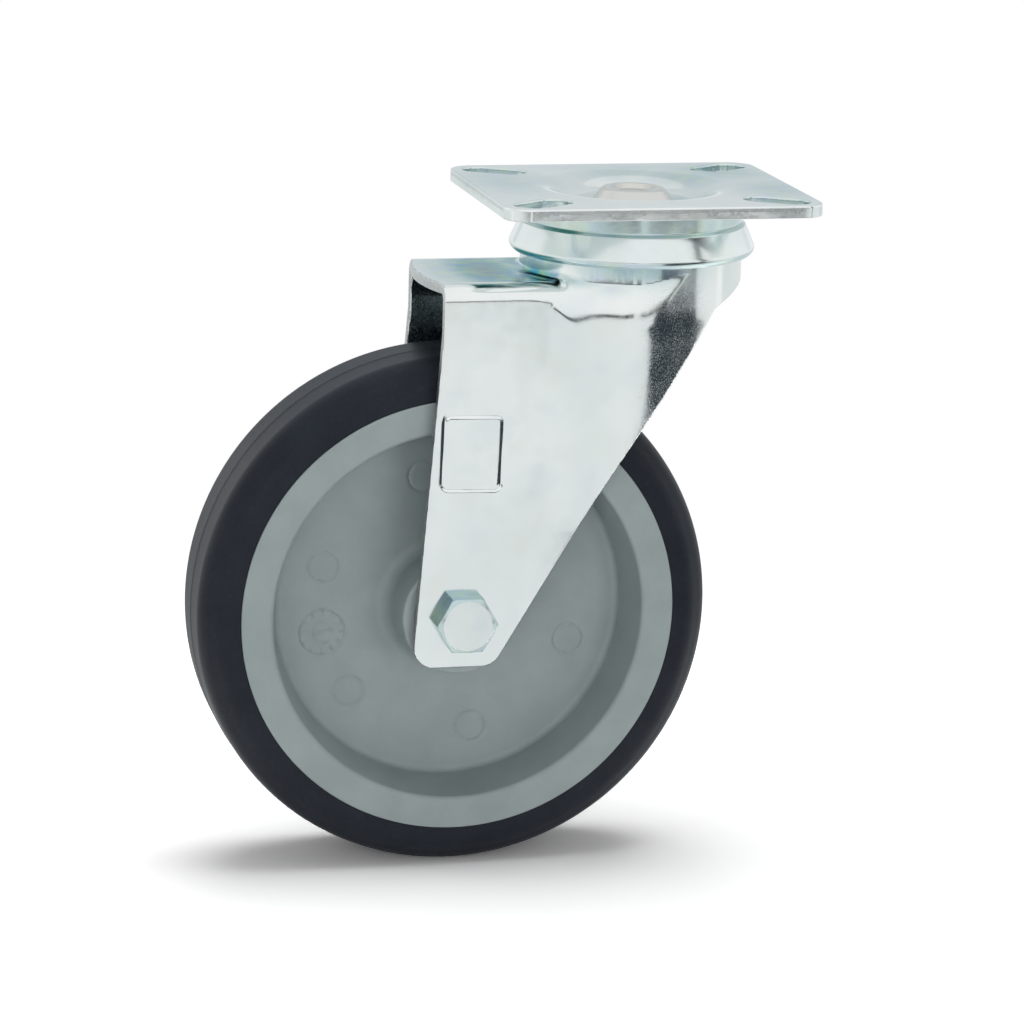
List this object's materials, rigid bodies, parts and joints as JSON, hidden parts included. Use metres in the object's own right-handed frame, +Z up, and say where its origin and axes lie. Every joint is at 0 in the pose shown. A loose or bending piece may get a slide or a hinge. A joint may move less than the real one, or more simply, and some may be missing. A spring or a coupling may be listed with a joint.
{
  "type": "swivel castor",
  "caption": "Swivel castor with a slotted top plate, a pressed fork and a soft-tyred wheel that trails behind the swivel axis.",
  "frame": {"origin": "centre of the plate's top face, on the swivel axis", "axes": "+Z up out of the plate's top face, -X towards the trailing wheel, Y along the axle with the bolt's head at -Y"},
  "size_m": [0.145, 0.067, 0.1635],
  "materials": {
    "zinc_plate": "satin",
    "rivet_steel": "satin",
    "bearing_steel": "polished",
    "moulded_grey": "satin",
    "tyre_dark": "satin",
    "nylon_blue": "satin",
    "nylon_natural": "satin"
  },
  "bodies": {
    "head": {"top_plate": "zinc_plate", "king_rivet": "rivet_steel", "race_skirt": "zinc_plate", "lower_cup": "zinc_plate"},
    "upper_ball_row": {"upper_balls": "bearing_steel"},
    "lower_ball_row": {"lower_balls": "bearing_steel"},
    "swivel": {"fork": "zinc_plate", "axle_bolt": "zinc_plate", "lock_nut": "zinc_plate", "nut_insert": "nylon_blue", "near_spacer": "bearing_steel", "far_spacer": "bearing_steel", "centre_spacer": "bearing_steel", "near_inner_ring": "bearing_steel", "far_inner_ring": "bearing_steel"},
    "wheel": {"wheel_rim": "moulded_grey", "wheel_web": "moulded_grey", "wheel_hub": "moulded_grey", "tyre": "tyre_dark", "near_outer_ring": "bearing_steel", "far_outer_ring": "bearing_steel", "near_outer_shield": "bearing_steel", "near_inner_shield": "bearing_steel", "far_outer_shield": "bearing_steel", "far_inner_shield": "bearing_steel"},
    "near_bearing_balls": {"near_balls": "bearing_steel", "near_cage": "nylon_natural"},
    "far_bearing_balls": {"far_balls": "bearing_steel", "far_cage": "nylon_natural"}
  },
  "joints": [
    {"name": "swivel_turn", "type": "hinge", "parent": "head", "child": "swivel", "pos_m": [0, 0, 0], "axis": [0, 0, 1], "continuous": true},
    {"name": "upper_row_roll", "type": "hinge", "parent": "head", "child": "upper_ball_row", "pos_m": [0, 0, 0], "axis": [0, 0, 1], "continuous": true},
    {"name": "lower_row_roll", "type": "hinge", "parent": "head", "child": "lower_ball_row", "pos_m": [0, 0, 0], "axis": [0, 0, 1], "continuous": true},
    {"name": "wheel_spin", "type": "hinge", "parent": "swivel", "child": "wheel", "pos_m": [-0.044, 0, -0.101], "axis": [0, 1, 0], "continuous": true},
    {"name": "near_row_roll", "type": "hinge", "parent": "swivel", "child": "near_bearing_balls", "pos_m": [-0.044, 0, -0.101], "axis": [0, 1, 0], "continuous": true},
    {"name": "far_row_roll", "type": "hinge", "parent": "swivel", "child": "far_bearing_balls", "pos_m": [-0.044, 0, -0.101], "axis": [0, 1, 0], "continuous": true}
  ],
  "couplings": [
    {"joint": "upper_row_roll", "follows": "swivel_turn", "ratio": 0.5},
    {"joint": "lower_row_roll", "follows": "swivel_turn", "ratio": 0.5},
    {"joint": "near_row_roll", "follows": "wheel_spin", "ratio": 0.632},
    {"joint": "far_row_roll", "follows": "wheel_spin", "ratio": 0.632}
  ]
}
